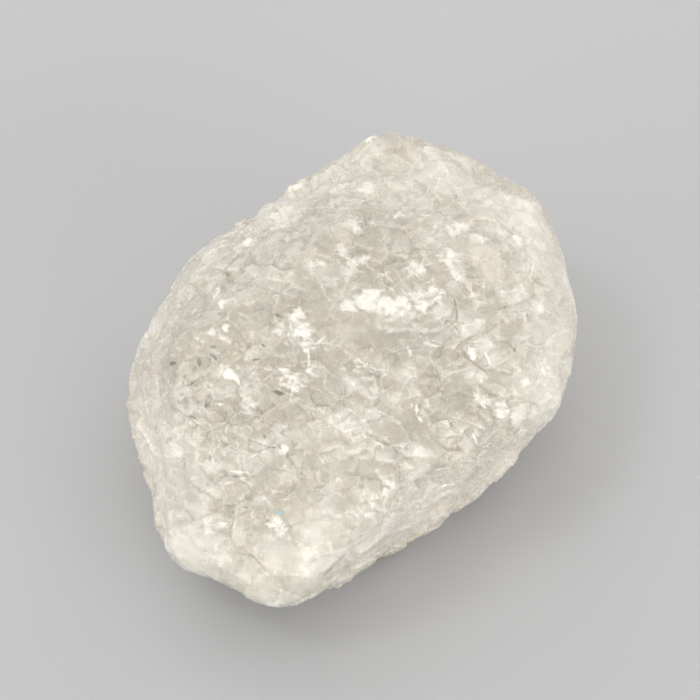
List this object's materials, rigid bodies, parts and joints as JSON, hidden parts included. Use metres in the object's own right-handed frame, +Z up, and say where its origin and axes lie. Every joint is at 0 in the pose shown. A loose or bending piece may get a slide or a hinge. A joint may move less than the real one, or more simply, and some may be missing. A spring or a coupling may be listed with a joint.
{
  "type": "raw quartz",
  "caption": "Palm-sized lump of raw milky quartz, granular and broken on every side, that rests on a flat break.",
  "frame": {"origin": "on the surface that the lump rests on, under the centre of its bounding box", "axes": "+X along the lump, away from its pointed toe; +Y across it; +Z up out of the surface it rests on"},
  "size_m": [0.0639, 0.0496, 0.0376],
  "materials": {
    "milky_quartz": "milky, translucent, sugary broken grain with a few glassy breaks"
  },
  "bodies": {
    "root": {"quartz": "milky_quartz"}
  },
  "joints": []
}
